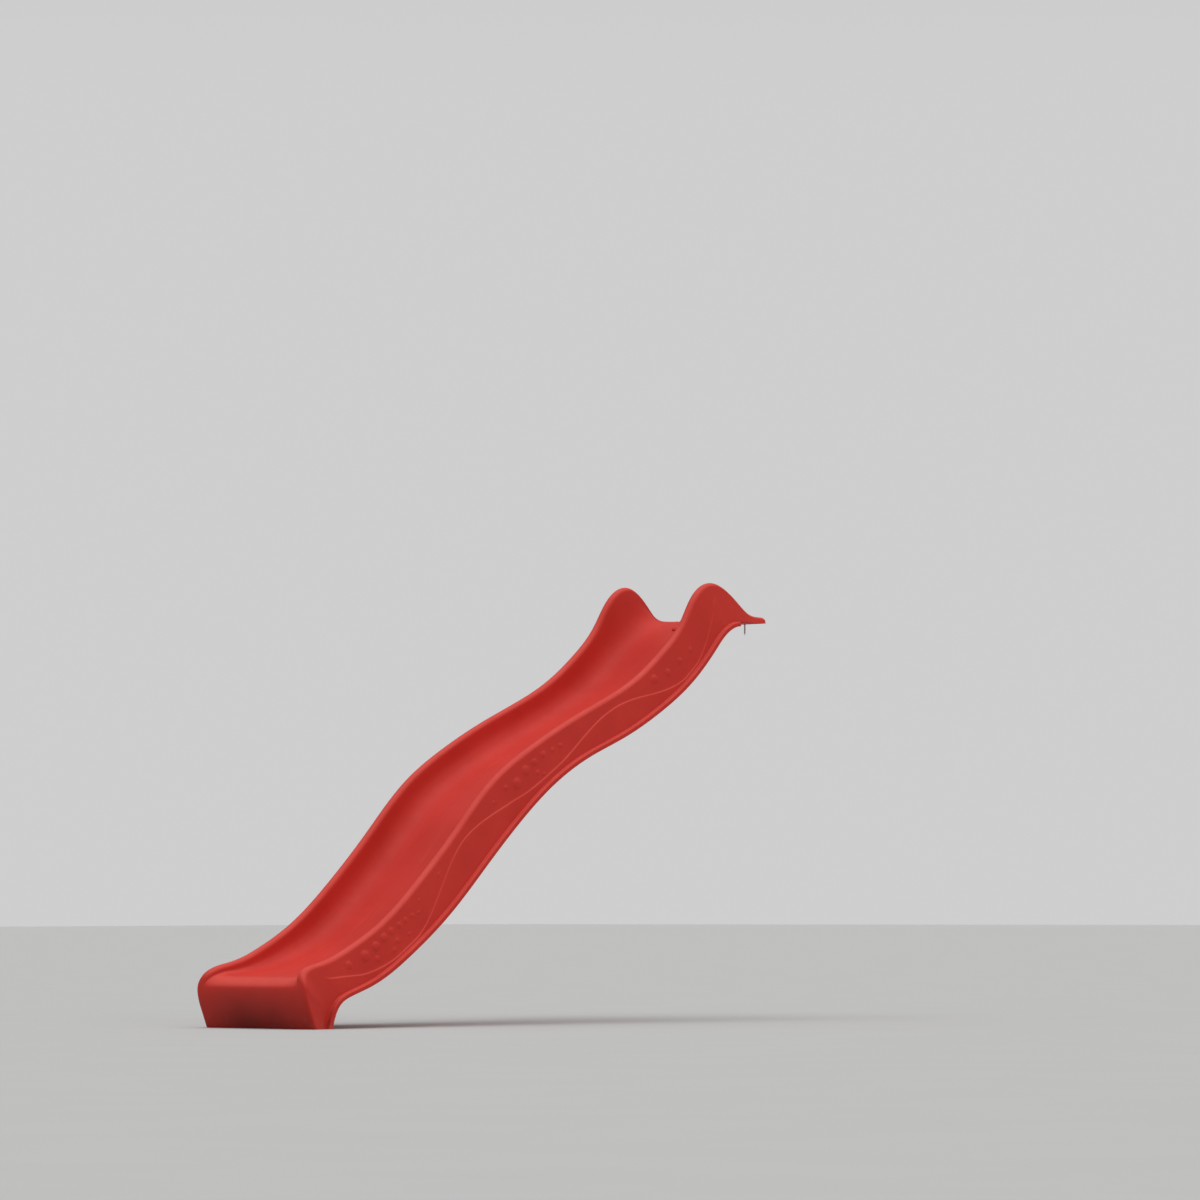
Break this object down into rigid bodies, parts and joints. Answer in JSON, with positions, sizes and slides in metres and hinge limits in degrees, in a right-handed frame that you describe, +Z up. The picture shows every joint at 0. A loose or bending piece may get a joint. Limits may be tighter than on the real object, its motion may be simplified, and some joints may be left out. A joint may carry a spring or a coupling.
{
  "type": "wave slide",
  "caption": "Child's wave slide: a one-piece hollow plastic chute with high rounded rims, a screw-down lip at the top and a closed foot that stands on the ground.",
  "frame": {"origin": "middle of the underside of the lip's screw bar, where it lies on the platform's deck", "axes": "+X across the slide, to the left of a child who sits facing downhill; -Y downhill, away from the platform; +Z up"},
  "size_m": [0.442, 1.9439, 1.302],
  "materials": {
    "red_polyethylene": "satin moulded polyethylene, bright red all through",
    "zinc_plated_steel": "bright zinc plate",
    "black_plastic": "fine-textured black nylon",
    "black_rubber": "matt black rubber"
  },
  "bodies": {
    "root": {"chute": "red_polyethylene", "lip_screw_left": "zinc_plated_steel", "lip_screw_middle": "zinc_plated_steel", "lip_screw_right": "zinc_plated_steel", "lip_washer_left": "zinc_plated_steel", "lip_washer_middle": "zinc_plated_steel", "lip_washer_right": "zinc_plated_steel", "water_nozzle": "red_polyethylene", "nozzle_gasket": "black_rubber", "backing_washer": "black_rubber", "nozzle_locknut": "black_plastic", "hose_tail": "black_plastic", "hose_seal": "black_rubber", "tail_o_ring": "black_rubber"}
  },
  "joints": []
}
